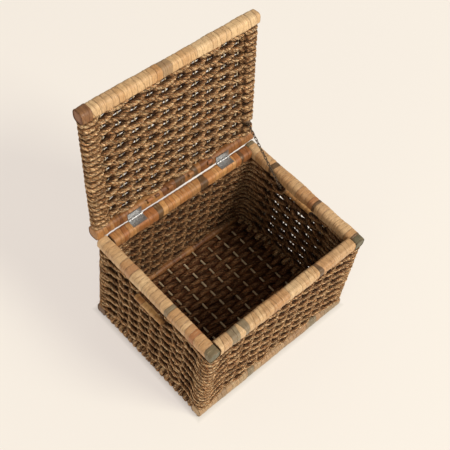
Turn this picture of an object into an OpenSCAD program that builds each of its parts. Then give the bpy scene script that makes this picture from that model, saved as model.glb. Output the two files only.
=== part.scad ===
// Wicker storage trunk: rope woven walls, floor and lid on bark wrapped rails,
// with two butt hinges at the back and a chain stay on the right.
// Origin: centre of the underside. +X right along the hinge line, -Y front, +Z up.

/* [Trunk] */
// Overall width, along the hinge line
trunk_w = 300; // [290:2:320]
// Overall depth, front face to back face
trunk_d = 234; // [230:2:240]
// Height of the open box, underside to rim top
box_h = 187; // [184:1:190]
// Angle of the lid from closed, as modelled
lid_open = 97.3; // [80:0.1:97.3]

/* [Rails] */
// Side of the square rails, bark included
rail = 18; // [17:0.5:19]
// Radius of the rounded rail edges
rail_r = 5.5; // [4:0.5:6]
// Thickness of the wound bark
bark_t = 1.2; // [0.8:0.1:1.6]
// Gap between the closed lid and the rim
lid_gap = 3.4; // [3.2:0.1:4]

/* [Weave] */
// Thickness of a flattened rope, across the wall
rope_t = 7; // [6:0.2:7.4]
// Height of a rope in its row
rope_h = 8.6; // [7.6:0.2:8.8]
// Diameter of the upright sticks
stake_d = 3; // [2:0.2:3]
// Spacing of the sticks in the walls
wall_pitch = 23; // [22:0.5:24]
// Spacing of the sticks in the floor and lid
panel_pitch = 26; // [24:0.5:26]
// Rows of rope in a wall
wall_rows = 16; // [15:1:16]
// Rows that run all the way round, below the hand slots
full_rows = 13; // [13:1:13]

/* [Hand slots] */
// Centre of the slot along the side wall
slot_y = 4.5; // [2.5:0.5:6.5]
// Thickness of the bar under the slot
bar_t = 8; // [7.6:0.2:8.4]

/* [Hinges] */
// Distance of each hinge from the middle
hinge_x = 84; // [75:1:95]
// Length of a hinge along its pin
hinge_len = 25; // [20:1:30]
// Thickness of a hinge leaf
leaf_t = 0.9; // [0.7:0.1:1]
// Radius of the hinge knuckle
knuckle_r = 1.85; // [1.6:0.05:1.9]
// Radius of the hinge pin
pin_r = 0.75; // [0.6:0.05:0.9]

/* [Chain] */
// Wire diameter of a link
link_wire = 1.15; // [1:0.05:1.2]
// Clear length inside a link
link_in = 5.5; // [5.5:0.1:5.5]
// Clear width inside a link
link_gap = 1.9; // [1.8:0.05:2]
// Spacing of the links along the taut chain
link_pitch = 5.15; // [5.15:0.01:5.15]
// Links in the chain
links = 20; // [20:2:20]

/* [Hidden] */
$fn = 48;

gap = 0.2;                               // between pieces of one body
half_w = trunk_w / 2;
half_d = trunk_d / 2;
wall_x = half_w - rail / 2;              // mid-plane of the side walls
wall_y = half_d - rail / 2;              // mid-plane of the front and back walls
rim_z = box_h - rail / 2;                // axis height of the rim rails
wall_z0 = rail;                          // the weave starts above the base rails
wall_z1 = box_h - rail;                  // and ends under the rim
row_pitch = (wall_z1 - wall_z0) / wall_rows;
wave = stake_d / 2 + gap + rope_t / 2;   // rope axis to stake axis
post_inset = 1.5;                        // corner posts stand in from the wall planes
post_r = 2.8;
bend_r = post_r + 0.9 + rope_t / 2;      // rope axis round a corner post
post_x = wall_x - post_inset;
post_y = wall_y - post_inset;

// Stake places along each wall; the slots end at the stakes beside them.
side_shift = slot_y - wall_pitch / 2;
side_stakes = [for (k = [-3 : 4]) side_shift + k * wall_pitch];
front_stakes = [for (k = [-5 : 5]) k * wall_pitch];
slot_y0 = side_stakes[2];
slot_y1 = side_stakes[5];
bar_x = wall_x + 6.5;                    // the bar lies outside the line of the sticks
bar_z = wall_z0 + full_rows * row_pitch + bar_t / 2 + 0.3;

// Lid, in its own closed position with the hinge axis as origin.
axis_y = half_d - 2.8;
axis_z = box_h + lid_gap / 2;
lid_z0 = lid_gap / 2;                    // lid underside above the axis
lid_z = lid_z0 + rail / 2;
lid_back = half_d - axis_y;
lid_front = lid_back - trunk_d;
lid_rows = 21;
lid_shift = 13;                          // the lid's sticks are off centre
lid_in0 = lid_front + rail;              // inner face of the lid's front rail
lid_in1 = lid_back - rail;               // inner face of the lid's back rail
lid_pitch = (lid_in1 - lid_in0) / lid_rows;
core = 9;                                // side bars inside the rope loops

floor_rows = 19;
floor_z = wave + rope_t / 2;             // the lowest bends of the rope touch the ground
floor_shift = 2;                         // sticks are off centre, one bend lies under the origin
floor_in = half_d - rail;
floor_pitch = 2 * floor_in / floor_rows;

// Chain, taut between the lid's eye and the anchor on the right rim.
eye_x = 137.8;                           // contact point with the eye, lid closed
eye_y = -35;
eye_z = 0.9;
eye_ring = 2.35;
eye_wire = 1.3;
hook = 1.6;                              // link end beyond what it hangs on
link_len = link_in + link_wire;
chain_len = (links - 1) * link_pitch + link_len - 2 * hook;
jog = link_pitch + link_len - hook;      // reach of the first two links
anchor_x = eye_x - jog;
anchor_z = box_h - 15;
eye_open = lid_to_box([eye_x, eye_y, eye_z]);
anchor_y = eye_open[1] - sqrt(pow(chain_len, 2) - pow(jog, 2) - pow(eye_open[2] - anchor_z, 2));
pull = ([anchor_x, anchor_y, anchor_z] - eye_open) / chain_len;
across = unit([1, 0, 0] - pull[0] * pull);
along = cross(across, pull);
seg_first = [1, 3, 6, 9, 12, 15, 18];
seg_last = [2, 5, 8, 11, 14, 17, 20];

bark = "burlywood";
timber = "peru";
rope = "darkkhaki";
rope_dark = "saddlebrown";
steel = "silver";
bronze = "dimgray";

function unit(v) = v / norm(v);
function lid_to_box(p) = [
    p[0],
    axis_y + p[1] * cos(lid_open) + p[2] * sin(lid_open),
    axis_z - p[1] * sin(lid_open) + p[2] * cos(lid_open)
];

// Rope path past the stakes of one straight run: [place, offset] pairs.
function weave(stakes, parity, side, flat = 3) = [
    for (j = [0 : len(stakes) - 1], e = [-flat, flat])
        [stakes[j] + e, ((j + parity) % 2 == 0 ? wave : -wave) + side]
];
function arc(cx, cy, r, a0) = [for (k = [0 : 6]) [cx + r * cos(a0 + 15 * k), cy + r * sin(a0 + 15 * k)]];

// Outline of a full row seen from above; side shifts it outwards or inwards.
function ring_pts(parity, side) = concat(
    [for (p = weave(front_stakes, parity, side)) [p[0], -wall_y - p[1]]],
    arc(post_x, -post_y, bend_r + side, -90),
    [for (p = weave(side_stakes, parity + 1, side)) [wall_x + p[1], p[0]]],
    arc(post_x, post_y, bend_r + side, 0),
    [for (p = weave(front_stakes, parity, side)) [-p[0], wall_y + p[1]]],
    arc(-post_x, post_y, bend_r + side, 90),
    [for (p = reversed(weave(side_stakes, parity + 1, side))) [-wall_x - p[1], p[0]]],
    arc(-post_x, -post_y, bend_r + side, 180)
);
function reversed(v) = [for (k = [len(v) - 1 : -1 : 0]) v[k]];

module lid_frame() {
    translate([0, axis_y, axis_z]) rotate([-lid_open, 0, 0]) children();
}

// Rounded square of a given side, centred.
module rounded_square(side, r) {
    square([side, side - 2 * r], center = true);
    square([side - 2 * r, side], center = true);
    for (x = [-1, 1], y = [-1, 1]) translate([x, y] * (side / 2 - r)) circle(r);
}

// Straight pole and its bark sleeve, along X or Y, centred at c.
module bar_at(c, dir, len) {
    translate(c)
        if (dir == "x") rotate([90, 0, 90]) linear_extrude(len, center = true) children();
        else rotate([90, 0, 0]) linear_extrude(len, center = true) children();
}
module pole(c, dir, len) {
    side = rail - 2 * bark_t - 0.1;
    bar_at(c, dir, len) rounded_square(side, rail_r - bark_t);
}
module sleeve(c, dir, len) {
    difference() {
        bar_at(c, dir, len) rounded_square(rail, rail_r);
        bar_at(c, dir, len + 1) rounded_square(rail - 2 * bark_t, rail_r - bark_t);
    }
}

// Pilot holes for the screws of one hinge leaf; up is the side the screws enter from.
module pilots(y, z, up) {
    for (x = [-hinge_x, hinge_x], e = [-8, 8])
        translate([x + e, y, z]) rotate([up > 0 ? 180 : 0, 0, 0]) translate([0, 0, -1])
            cylinder(h = 12, r = 1.05);
}

cross_len = trunk_w - 2 * rail - 2 * gap;

module rim_front_pole() { color(timber) pole([0, -wall_y, rim_z], "x", cross_len); }
module rim_back_pole() {
    color(timber) difference() {
        pole([0, wall_y, rim_z], "x", cross_len);
        pilots(leaf_y, box_h, 1);
    }
}
module rim_left_pole() { color(timber) pole([-wall_x, 0, rim_z], "y", trunk_d - 2); }
module rim_right_pole() {
    color(timber) difference() {
        pole([wall_x, 0, rim_z], "y", trunk_d - 2);
        anchor_hole();
    }
}
module rim_front_wrap() { color(bark) sleeve([0, -wall_y, rim_z], "x", cross_len); }
module rim_back_wrap() {
    color(bark) difference() {
        sleeve([0, wall_y, rim_z], "x", cross_len);
        pilots(leaf_y, box_h, 1);
    }
}
module rim_left_wrap() { color(bark) sleeve([-wall_x, 0, rim_z], "y", trunk_d); }
module rim_right_wrap() {
    color(bark) difference() {
        sleeve([wall_x, 0, rim_z], "y", trunk_d);
        anchor_hole();
    }
}

module corner_post(x, y) {
    color(timber) translate([x * post_x, y * post_y, wall_z0 + gap])
        cylinder(h = wall_z1 - wall_z0 - 2 * gap, r = post_r);
}

module base_front_pole() { color(timber) pole([0, -wall_y, rail / 2], "x", trunk_w - 2); }
module base_back_pole() { color(timber) pole([0, wall_y, rail / 2], "x", trunk_w - 2); }
module base_front_wrap() { color(bark) sleeve([0, -wall_y, rail / 2], "x", trunk_w); }
module base_back_wrap() { color(bark) sleeve([0, wall_y, rail / 2], "x", trunk_w); }
module base_side_pole(s) {
    color(timber) bar_at([s * wall_x, 0, rail / 2], "y", 2 * floor_in - 2 * gap) square(core, center = true);
}

// Bar under a hand slot: a round core in a bark sleeve, between the cut rope ends.
bar_len = slot_y1 - slot_y0 - 2 * 4;
bar_y = (slot_y0 + slot_y1) / 2;
module handle_bar(s) {
    color(timber) bar_at([s * bar_x, bar_y, bar_z], "y", bar_len) circle(bar_t / 2 - bark_t - 0.05);
}
module handle_wrap(s) {
    color(bark) difference() {
        bar_at([s * bar_x, bar_y, bar_z], "y", bar_len) circle(bar_t / 2);
        bar_at([s * bar_x, bar_y, bar_z], "y", bar_len + 1) circle(bar_t / 2 - bark_t);
    }
}

module stake(p, z1) {
    translate([p[0], p[1], wall_z0 + 2 * gap]) cylinder(h = z1 - wall_z0 - 2 * gap, d = stake_d, $fn = 24);
}
module stakes_front(s = -1) { color(timber) for (x = front_stakes) stake([x, s * wall_y], wall_z1 - gap); }
module stakes_side(s) {
    color(timber) for (y = side_stakes)
        stake([s * wall_x, y], y > slot_y0 && y < slot_y1 ? bar_z - bar_t / 2 - gap : wall_z1 - gap);
}

// One full row of rope, a separate length on each wall, joined at the corner bends.
joint_gap = 0.3;
module row_ring(i) {
    translate([0, 0, wall_z0 + (i + 0.5) * row_pitch - rope_h / 2]) linear_extrude(rope_h)
        difference() {
            polygon(ring_pts(i % 2, rope_t / 2));
            polygon(ring_pts(i % 2, -rope_t / 2));
            for (x = [-1, 1], y = [-1, 1]) translate([x * post_x, y * post_y])
                rotate(atan2(y, x)) translate([bend_r, 0]) square([2 * rope_t, joint_gap], center = true);
        }
}
module wall_course(n) {
    color(rope) for (i = [2 * n - 2 : n == 6 ? full_rows - 1 : 2 * n - 1]) row_ring(i);
}
module wall_top(s) {
    y0 = s < 0 ? slot_y0 + 3 : slot_y1 - 3;
    color(rope) for (i = [full_rows : wall_rows - 1]) intersection() {
        row_ring(i);
        translate([-half_w - 10, s < 0 ? y0 - trunk_d : y0, 0]) cube([trunk_w + 20, trunk_d, box_h]);
    }
}

// Woven panel: rows of rope over and under stakes, with loops round the side bars.
module woven_rows(stakes, y0, pitch, rows, z, parity = 0) {
    reach = wall_x - rail / 2 + 1;
    for (i = [0 : rows - 1])
        translate([0, y0 + (i + 0.5) * pitch + rope_h / 2, z]) rotate([90, 0, 0]) linear_extrude(rope_h)
            polygon(concat(
                [[-reach, rope_t / 2]],
                weave(stakes, i + parity, rope_t / 2),
                [[reach, rope_t / 2], [reach, -rope_t / 2]],
                reversed(weave(stakes, i + parity, -rope_t / 2)),
                [[-reach, -rope_t / 2]]
            ));
}
module loop_at(s, y, z, len) {
    difference() {
        bar_at([s * wall_x, y, z], "y", len) rounded_square(rail, rail_r);
        bar_at([s * wall_x, y, z], "y", len + 1) square(core + 2 * gap, center = true);
    }
}
function panel_stakes(shift) = [for (k = [-5 : 4]) shift + k * panel_pitch];

module floor_stakes() {
    color(bark) for (x = panel_stakes(floor_shift))
        bar_at([x, 0, floor_z], "y", 2 * floor_in - 2 * gap) circle(stake_d / 2, $fn = 24);
}
module floor_ropes() {
    color(rope_dark) {
        woven_rows(panel_stakes(floor_shift), -floor_in, floor_pitch, floor_rows, floor_z, 1);
        for (i = [0 : floor_rows - 1], s = [-1, 1])
            loop_at(s, -floor_in + (i + 0.5) * floor_pitch, rail / 2, rope_h);
    }
}

// Butt hinge: each leaf carries every other knuckle.
leaf_y = 106.5;                          // screw line on the back rim rail
leaf_y0 = 102;
knuckles = 5;
knuckle_len = hinge_len / knuckles;
module knuckle(k, bore) {
    translate([-hinge_len / 2 + (k + 0.5) * knuckle_len, 0, 0]) rotate([0, 90, 0]) difference() {
        cylinder(h = knuckle_len - 0.5, r = knuckle_r, center = true);
        cylinder(h = knuckle_len + 1, r = bore, center = true);
    }
}
// One leaf with the axis at the origin, its plate below the axis and reaching to -Y.
module hinge_leaf(own, bore) {
    plate_z = -lid_gap / 2 + 0.05;
    depth = axis_y - leaf_y0;
    difference() {
        union() {
            translate([-hinge_len / 2, -depth, plate_z])
                cube([hinge_len, depth - knuckle_r - 0.4, leaf_t]);
            for (k = [0 : knuckles - 1]) if (k % 2 == own) {
                knuckle(k, bore);
                translate([-hinge_len / 2 + k * knuckle_len + 0.25, -knuckle_r - 1, plate_z]) difference() {
                    cube([knuckle_len - 0.5, knuckle_r + 1, leaf_t]);
                    translate([-1, knuckle_r + 1, -plate_z]) rotate([0, 90, 0])
                        cylinder(h = knuckle_len + 2, r = knuckle_r - 0.5);
                }
            }
        }
        for (e = [-8, 8]) translate([e, leaf_y - axis_y, plate_z - 1]) {
            cylinder(h = 4, r = 1.1);
            translate([0, 0, 1 + leaf_t - 0.8]) cylinder(h = 0.81, r1 = 1.1, r2 = 2.1);
        }
    }
}
module hinge_leaf_box(s) {
    color(steel) translate([s * hinge_x, axis_y, axis_z]) hinge_leaf(0, pin_r + 0.02);
}
module hinge_leaf_lid(s) {
    color(steel) lid_frame() translate([s * hinge_x, 0, 0]) mirror([0, 0, 1]) hinge_leaf(1, pin_r + 0.06);
}
module hinge_pins() {
    color(steel) for (s = [-1, 1]) translate([s * hinge_x, axis_y, axis_z]) rotate([0, 90, 0])
        cylinder(h = hinge_len, r = pin_r, center = true);
}

// Countersunk screw with its head face at the origin, shank down, slot across the head.
module screw() {
    difference() {
        union() {
            translate([0, 0, -0.75]) cylinder(h = 0.75, r1 = 1, r2 = 1.95);
            translate([0, 0, -9]) cylinder(h = 8.5, r = 1);
        }
        translate([-2.5, -0.25, -0.35]) cube([5, 0.5, 1]);
    }
}
module leaf_screws() {
    for (s = [-1, 1], e = [-8, 8])
        translate([s * hinge_x + e, leaf_y - axis_y, -lid_gap / 2 + 0.05 + leaf_t])
            rotate([0, 0, 40 * s + 3 * e]) screw();
}
module box_screws() { color(steel) translate([0, axis_y, axis_z]) leaf_screws(); }
module lid_screws() { color(steel) lid_frame() mirror([0, 0, 1]) leaf_screws(); }

module lid_pole(y) { pole([0, y, lid_z], "x", trunk_w - 2); }
module lid_front_pole() { color(timber) lid_frame() lid_pole(lid_front + rail / 2); }
module lid_back_pole() {
    color(timber) lid_frame() difference() {
        lid_pole(lid_back - rail / 2);
        pilots(leaf_y - axis_y, lid_z0, -1);
    }
}
module lid_front_wrap() { color(bark) lid_frame() sleeve([0, lid_front + rail / 2, lid_z], "x", trunk_w); }
module lid_back_wrap() {
    color(bark) lid_frame() difference() {
        sleeve([0, lid_back - rail / 2, lid_z], "x", trunk_w);
        pilots(leaf_y - axis_y, lid_z0, -1);
    }
}
module lid_bar(s) {
    color(timber) lid_frame() difference() {
        bar_at([s * wall_x, (lid_in0 + lid_in1) / 2, lid_z], "y", lid_in1 - lid_in0 - 2 * gap)
            square(core, center = true);
        if (s > 0) translate([eye_x, eye_mid[1], lid_z - core]) cylinder(h = core + 2.3, r = 0.75);
    }
}
module lid_stakes() {
    color(timber) lid_frame() for (x = panel_stakes(lid_shift))
        bar_at([x, (lid_in0 + lid_in1) / 2, lid_z], "y", lid_in1 - lid_in0 - 2 * gap)
            circle(stake_d / 2, $fn = 24);
}
// On the right bar the loops part to let the chain's eye through.
eye_gap = 9;
module lid_ropes() {
    back_loops = 2;
    back_run = lid_in1 - (eye_y + eye_gap / 2 - 0.5);
    front_run = eye_y - eye_gap / 2 - 0.5 - lid_in0;
    front_loops = lid_rows - back_loops - 1;
    color(rope) lid_frame() {
        woven_rows(panel_stakes(lid_shift), lid_in0, lid_pitch, lid_rows, lid_z);
        for (i = [0 : lid_rows - 1]) loop_at(-1, lid_in0 + (i + 0.5) * lid_pitch, lid_z, rope_h);
        for (i = [0 : back_loops - 1])
            loop_at(1, lid_in1 - (i + 0.5) * back_run / back_loops, lid_z, back_run / back_loops - 0.5);
        for (i = [0 : front_loops - 1])
            loop_at(1, lid_in0 + (i + 0.5) * front_run / front_loops, lid_z, front_run / front_loops - 0.5);
    }
}

// Screw eye on the lid: ring across X, shank up into the side bar.
pull_lid = unit([0, pull[1] * cos(lid_open) - pull[2] * sin(lid_open),
                 pull[1] * sin(lid_open) + pull[2] * cos(lid_open)]);
eye_mid = [eye_x, eye_y, eye_z] - eye_ring * pull_lid;
module chain_eye() {
    color(bronze) lid_frame() translate(eye_mid) {
        rotate([0, 90, 0]) rotate_extrude() translate([eye_ring, 0]) circle(d = eye_wire, $fn = 24);
        translate([0, 0, eye_ring]) cylinder(h = lid_z + 2 - eye_mid[2] - eye_ring, r = eye_wire / 2);
    }
}

// Anchor on the rim: a small pin through the last link, with a head and a collar.
module anchor_hole() {
    translate([anchor_x, anchor_y, anchor_z]) rotate([0, 90, 0]) cylinder(h = 15, r = 0.7);
}
module chain_anchor() {
    color(bronze) translate([anchor_x, anchor_y, anchor_z]) rotate([0, 90, 0]) {
        translate([0, 0, -1]) cylinder(h = 11, r = 0.6);
        translate([0, 0, 1.6]) cylinder(h = half_w - rail - anchor_x - 1.6 - 0.1, r = 1.8);
        translate([0, 0, -1.8]) cylinder(h = 0.8, r = 1.9);
    }
}

// Oval wire link from one end's wire axis to the other, along +X, flat in the XY plane.
module link() {
    r = (link_gap + link_wire) / 2;
    for (e = [0, 1]) translate([e * link_len, 0, 0]) mirror([e, 0, 0]) translate([r, 0, 0])
        rotate([0, 0, 90]) rotate_extrude(angle = 180) translate([r, 0]) circle(d = link_wire, $fn = 24);
    for (s = [-1, 1]) translate([r, s * r, 0]) rotate([0, 90, 0])
        cylinder(h = link_len - 2 * r, d = link_wire, $fn = 24);
}
// Chain axes: +X along the pull, +Y across it, +Z square to both.
module chain_frame() {
    multmatrix([
        [pull[0], across[0], -along[0], eye_open[0]],
        [pull[1], across[1], -along[1], eye_open[1]],
        [pull[2], across[2], -along[2], eye_open[2]],
        [0, 0, 0, 1],
    ]) children();
}
module chain_segment(n) {
    color(bronze) chain_frame() for (k = [seg_first[n - 1] : seg_last[n - 1]])
        translate([-hook + (k - 1) * link_pitch, 0, 0]) rotate([k % 2 == 0 ? 90 : 0, 0, 0]) link();
}

rim_front_pole();
rim_back_pole();
rim_left_pole();
rim_right_pole();
rim_front_wrap();
rim_back_wrap();
rim_left_wrap();
rim_right_wrap();
corner_post(-1, -1);  // corner_post_front_left
corner_post(1, -1);  // corner_post_front_right
corner_post(-1, 1);  // corner_post_back_left
corner_post(1, 1);  // corner_post_back_right
base_front_pole();
base_back_pole();
base_front_wrap();
base_back_wrap();
base_side_pole(-1);  // base_left_pole
base_side_pole(1);  // base_right_pole
handle_bar(-1);  // handle_left_bar
handle_bar(1);  // handle_right_bar
handle_wrap(-1);  // handle_left_wrap
handle_wrap(1);  // handle_right_wrap
stakes_front(-1);
stakes_front(1);  // stakes_back
stakes_side(-1);  // stakes_left
stakes_side(1);  // stakes_right
wall_course(1);  // wall_course_1
wall_course(2);  // wall_course_2
wall_course(3);  // wall_course_3
wall_course(4);  // wall_course_4
wall_course(5);  // wall_course_5
wall_course(6);  // wall_course_6
wall_top(-1);  // wall_top_front
wall_top(1);  // wall_top_back
floor_stakes();
floor_ropes();
hinge_leaf_box(-1);  // hinge_leaf_box_left
hinge_leaf_box(1);  // hinge_leaf_box_right
hinge_pins();
box_screws();
chain_anchor();
lid_front_pole();
lid_back_pole();
lid_front_wrap();
lid_back_wrap();
lid_bar(-1);  // lid_left_bar
lid_bar(1);  // lid_right_bar
lid_stakes();
lid_ropes();
hinge_leaf_lid(-1);  // hinge_leaf_lid_left
hinge_leaf_lid(1);  // hinge_leaf_lid_right
lid_screws();
chain_eye();
chain_segment(1);  // chain_1
chain_segment(2);  // chain_2
chain_segment(3);  // chain_3
chain_segment(4);  // chain_4
chain_segment(5);  // chain_5
chain_segment(6);  // chain_6
chain_segment(7);  // chain_7
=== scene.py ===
import math
import bpy
import numpy as np
from mathutils import Matrix, Vector


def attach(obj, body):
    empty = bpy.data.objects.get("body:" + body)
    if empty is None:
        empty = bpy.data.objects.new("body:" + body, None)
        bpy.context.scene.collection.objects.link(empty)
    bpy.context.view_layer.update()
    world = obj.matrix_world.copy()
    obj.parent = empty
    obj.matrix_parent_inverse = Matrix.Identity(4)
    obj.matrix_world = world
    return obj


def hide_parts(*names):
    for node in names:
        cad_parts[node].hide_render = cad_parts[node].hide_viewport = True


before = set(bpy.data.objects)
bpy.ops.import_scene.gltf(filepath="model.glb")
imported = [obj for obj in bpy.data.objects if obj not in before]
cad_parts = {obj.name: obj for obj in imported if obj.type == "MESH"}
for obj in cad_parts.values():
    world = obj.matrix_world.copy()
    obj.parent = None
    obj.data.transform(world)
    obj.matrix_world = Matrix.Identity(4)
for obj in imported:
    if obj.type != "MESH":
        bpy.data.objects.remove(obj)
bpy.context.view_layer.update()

MM = 0.001
rng = np.random.default_rng(319)
UP, ALONG_Y = (0, 0, 1), (0, 1, 0)

# ---------------------------------------------------------------- dimensions, mm
WALL_X, WALL_Y = 141.0, 108.0            # mid-planes of the walls
HALF_W, HALF_D = 150.0, 117.0            # outside of the rails
RAIL, RAIL_HALF = 18.0, 9.0
RIM_Z, BASE_Z = 178.0, 9.0               # middle of the rim and base rails
WALL_Z0, ROW, ROWS = 18.0, 9.4375, 16    # foot of the weave, height of a row, rows
FULL_ROWS = 13                           # rows that run all the way round, below the hand slots
WALL_PITCH, PANEL_PITCH = 23.0, 26.0     # between sticks
FRONT = np.arange(-5, 6) * WALL_PITCH
SIDE = -7.0 + np.arange(-3, 5) * WALL_PITCH
SLOT0, SLOT1, SLOT_MID = -30.0, 39.0, 4.5
BAR_X, BAR_Y, BAR_Z = 147.5, 5.5, 144.99
BAR_LENGTH, BAR_HALF = 56, 4.3
PRESS_HALF, PRESS_EASE, PRESS_UP = 37, 8, 2.0   # the row under a bar: where it is pressed up, and how far
POST_X, POST_Y, BEND = 139.5, 106.5, 7.2
CORNER_OFF = BEND - 1.5                  # wall mid-plane to rope axis, where the bend begins
WAVE = 3.0                               # rope axis to stick axis, with the rope pressed on the stick
AXIS_Y, AXIS_Z, LID_OPEN = 114.2, 188.7, math.radians(97.3)
LID_FRONT, LID_BACK, LID_Z = -231.2, 2.8, 10.7
LID_IN0, LID_IN1, LID_ROWS = -213.2, -15.2, 21
LID_STAKES = 13.0 + PANEL_PITCH * np.arange(-5, 5)
FRONT_LOOPS = 18                         # lid ropes round the right bar, in front of the chain's eye
EYE_GAP0, EYE_GAP1 = -40.0, -30.0
FLOOR_IN, FLOOR_ROWS, FLOOR_Z = 99.0, 19, 8.7
FLOOR_STAKES = 2.0 + PANEL_PITCH * np.arange(-5, 5)
PANEL_REACH, LOOP_FROM = 132.0, 131.0    # end of a panel rope's straight run, and where its loops begin
ROPE_R, ROPE_FLAT, TWIST = 4.75, 0.95, 30.0
PLIES = 4
PLY_OFF, PLY_RADIAL, PLY_WIDE = 0.57, 0.43, 0.56    # offset and half sizes of a ply, in rope radii
# weights of painted shade: at a rope's edges, and on the inner faces of the walls
EDGE_SHADE, INNER_SHADE = 0.93, 0.38
HAIR_MAX, HAIR_LOW = 6.0, 0.4            # longest hair, and the lowest that one hangs


def lid_world(v):
    """Closed lid coordinates to the row frame, lid open."""
    c, s = math.cos(LID_OPEN), math.sin(LID_OPEN)
    return np.stack([v[:, 0], AXIS_Y + v[:, 1] * c + v[:, 2] * s, AXIS_Z - v[:, 1] * s + v[:, 2] * c], 1)


# ---------------------------------------------------------------- mesh helpers
class Bag:
    """Collects vertices, faces and point attributes of one piece."""

    def __init__(self):
        self.v, self.f, self.a, self.n = [], [], {}, 0

    def add(self, verts, faces, **attrs):
        for f in faces:
            self.f.append(np.asarray(f) + self.n)
        self.v.append(np.asarray(verts, float))
        for k, x in attrs.items():
            self.a.setdefault(k, []).append(np.asarray(x, float))
        self.n += len(verts)

    def build(self, name, body, slot, material, replaces=(), to_world=None):
        v = np.concatenate(self.v)
        if to_world:
            v = to_world(v)
        corners = np.concatenate([f.ravel() for f in self.f])
        sizes = np.concatenate([np.full(len(f), f.shape[1]) for f in self.f])
        starts = np.concatenate([[0], np.cumsum(sizes)[:-1]])
        me = bpy.data.meshes.new(name)
        me.vertices.add(len(v))
        me.vertices.foreach_set("co", (v * MM).astype(np.float32).ravel())
        me.loops.add(len(corners))
        me.loops.foreach_set("vertex_index", corners.astype(np.int32))
        me.polygons.add(len(sizes))
        me.polygons.foreach_set("loop_start", starts.astype(np.int32))
        me.update(calc_edges=True)
        me.polygons.foreach_set("use_smooth", np.full(len(sizes), True))
        for k, parts in self.a.items():
            x = np.concatenate(parts)
            kind = {1: "FLOAT", 3: "FLOAT_VECTOR", 4: "FLOAT_COLOR"}[1 if x.ndim == 1 else x.shape[1]]
            at = me.attributes.new(k, kind, "POINT")
            field = {"FLOAT": "value", "FLOAT_VECTOR": "vector", "FLOAT_COLOR": "color"}[kind]
            at.data.foreach_set(field, x.astype(np.float32).ravel())
        me.validate()
        ob = bpy.data.objects.new(name, me)
        bpy.context.scene.collection.objects.link(ob)
        me.materials.append(material)
        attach(ob, body)
        if replaces:
            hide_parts(*replaces)


def grid(rings, m, closed=False):
    """Quads of a tube of rings, each of m vertices."""
    r = np.arange(rings if closed else rings - 1)[:, None]
    k = np.arange(m)[None, :]
    nr, nk = (r + 1) % rings, (k + 1) % m
    return np.stack([r * m + k, r * m + nk, nr * m + nk, nr * m + k], -1).reshape(-1, 4)


def end_rings(n, m):
    """First and last ring of a tube, each with its vertices in the order that faces its cap outward."""
    return (0, np.arange(m)[::-1]), (n - 1, np.arange(m))


def cap(ring):
    """Triangles from a ring to the vertex that follows it."""
    return np.stack([ring, np.roll(ring, -1), np.full(len(ring), len(ring))], 1)


def unit(v, least=0.0):
    return v / (np.linalg.norm(v, axis=1)[:, None] + least)


def run_length(p):
    return np.concatenate([[0], np.cumsum(np.linalg.norm(np.diff(p, axis=0), axis=1))])


def fade_ends(n, count):
    """0 at both ends of n samples, 1 from count samples in."""
    return np.minimum(1, np.minimum(np.arange(n), n - 1 - np.arange(n)) / count)


def smooth_noise(n, step, wavelength, amp=1.0):
    """Seeded noise along a line of n samples, spaced step."""
    knots = max(4, int(n * step / wavelength) + 3)
    y = rng.normal(0, 1, knots)
    x = np.linspace(0, knots - 1.001, n)
    i = x.astype(int)
    f = x - i
    f = f * f * (3 - 2 * f)
    return amp * (y[i] * (1 - f) + y[np.minimum(i + 1, knots - 1)] * f)


def resample(p, step, closed=False):
    """Points about step apart along a line, and the line's length."""
    if closed:
        p = np.vstack([p, p[:1]])
    d = np.linalg.norm(np.diff(p, axis=0), axis=1)
    p = p[np.concatenate([[True], d > 1e-6])]
    s = run_length(p)
    n = max(4, int(round(s[-1] / step)))
    t = np.linspace(0, s[-1], n + 1)
    q = np.stack([np.interp(t, s, p[:, k]) for k in range(3)], 1)
    return (q[:-1] if closed else q), s[-1]


def ease(x, knots, values):
    """Values at x on a curve that eases from knot to knot."""
    knots, values = np.asarray(knots, float), np.asarray(values, float)
    i = np.clip(np.searchsorted(knots, x) - 1, 0, len(knots) - 2)
    f = np.clip((x - knots[i]) / (knots[i + 1] - knots[i]), 0, 1)
    f = (1 - np.cos(np.pi * f)) / 2
    return values[i] * (1 - f) + values[i + 1] * f


# ---------------------------------------------------------------- rope
def wall_side(p):
    """Outward direction of the nearest wall, and how far out of its mid-plane a point is."""
    ax, ay = np.abs(p[:, 0]) - WALL_X, np.abs(p[:, 1]) - WALL_Y
    on_x = (ax > ay)[:, None]
    vec = np.where(on_x, np.sign(p[:, :1]) * (1.0, 0, 0), np.sign(p[:, 1:2]) * (0, 1.0, 0))
    return vec, np.maximum(ax, ay)


def inner_side(p):
    """No side at all: the corner ropes get no painted recess shade of their own."""
    return np.tile((0.0, 0.0, 1.0), (len(p), 1)), np.zeros(len(p))


def panel_side(mid, reach=124.0):
    """The same as wall_side for a flat panel at height mid, as far out as reach along x."""
    def side(p):
        return np.tile((0.0, 0.0, 1.0), (len(p), 1)), np.where(np.abs(p[:, 0]) < reach, p[:, 2] - mid, 0.0)
    return side


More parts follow.
